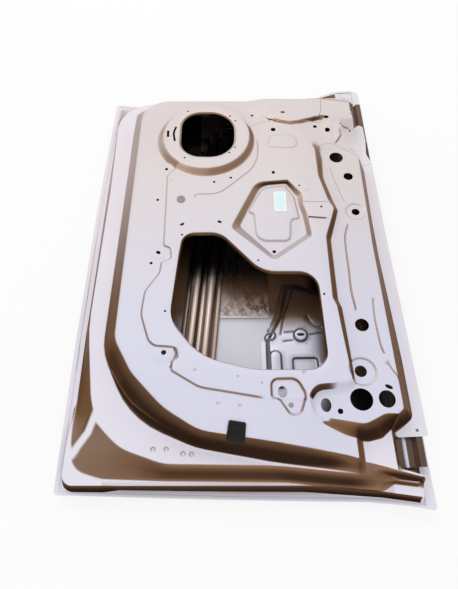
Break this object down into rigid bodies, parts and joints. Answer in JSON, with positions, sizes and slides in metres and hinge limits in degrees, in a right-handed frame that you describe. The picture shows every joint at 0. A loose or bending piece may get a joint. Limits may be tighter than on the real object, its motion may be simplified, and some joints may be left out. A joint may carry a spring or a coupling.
{
  "type": "car door shell",
  "caption": "Bare front door shell of a car without window frame: crowned outer skin hemmed over a deep pressed inner panel.",
  "frame": {"origin": "lowest point of the outer skin, at the middle of the door's length and width", "axes": "+X from the sill edge to the belt edge, +Y from the latch edge to the hinge edge, +Z from the outer skin to the inner side"},
  "size_m": [0.7277, 1.16, 0.137],
  "materials": {
    "primer": "pale primer coat, satin",
    "electrocoat": "brown dip coat, semi-gloss",
    "zinc": "zinc plated",
    "pad_bitumen": "matt, painted over",
    "label_paper": "bare paper label",
    "grey_rubber": "matt",
    "black_plastic": "semi-matt"
  },
  "bodies": {
    "root": {"outer_skin": "primer", "inner_panel": "primer", "mirror_plate": "primer", "sash_top_plate": "primer", "belt_inner_reinforcement": "electrocoat", "belt_outer_reinforcement": "electrocoat", "intrusion_beam": "electrocoat", "beam_bracket_front": "electrocoat", "beam_bracket_rear": "electrocoat", "handle_reinforcement": "electrocoat", "latch_reinforcement": "electrocoat", "hinge_reinforcement_lower": "electrocoat", "hinge_reinforcement_upper": "electrocoat", "check_link_plate": "electrocoat", "front_sash_channel": "electrocoat", "rear_sash_channel": "electrocoat", "hinge_tapping_plate_lower": "zinc", "hinge_tapping_plate_upper": "zinc", "weld_nut_1": "zinc", "weld_nut_2": "zinc", "weld_nut_3": "zinc", "damping_pad": "pad_bitumen", "label_sticker": "label_paper", "hole_plug": "grey_rubber", "rear_clip": "black_plastic"}
  },
  "joints": []
}
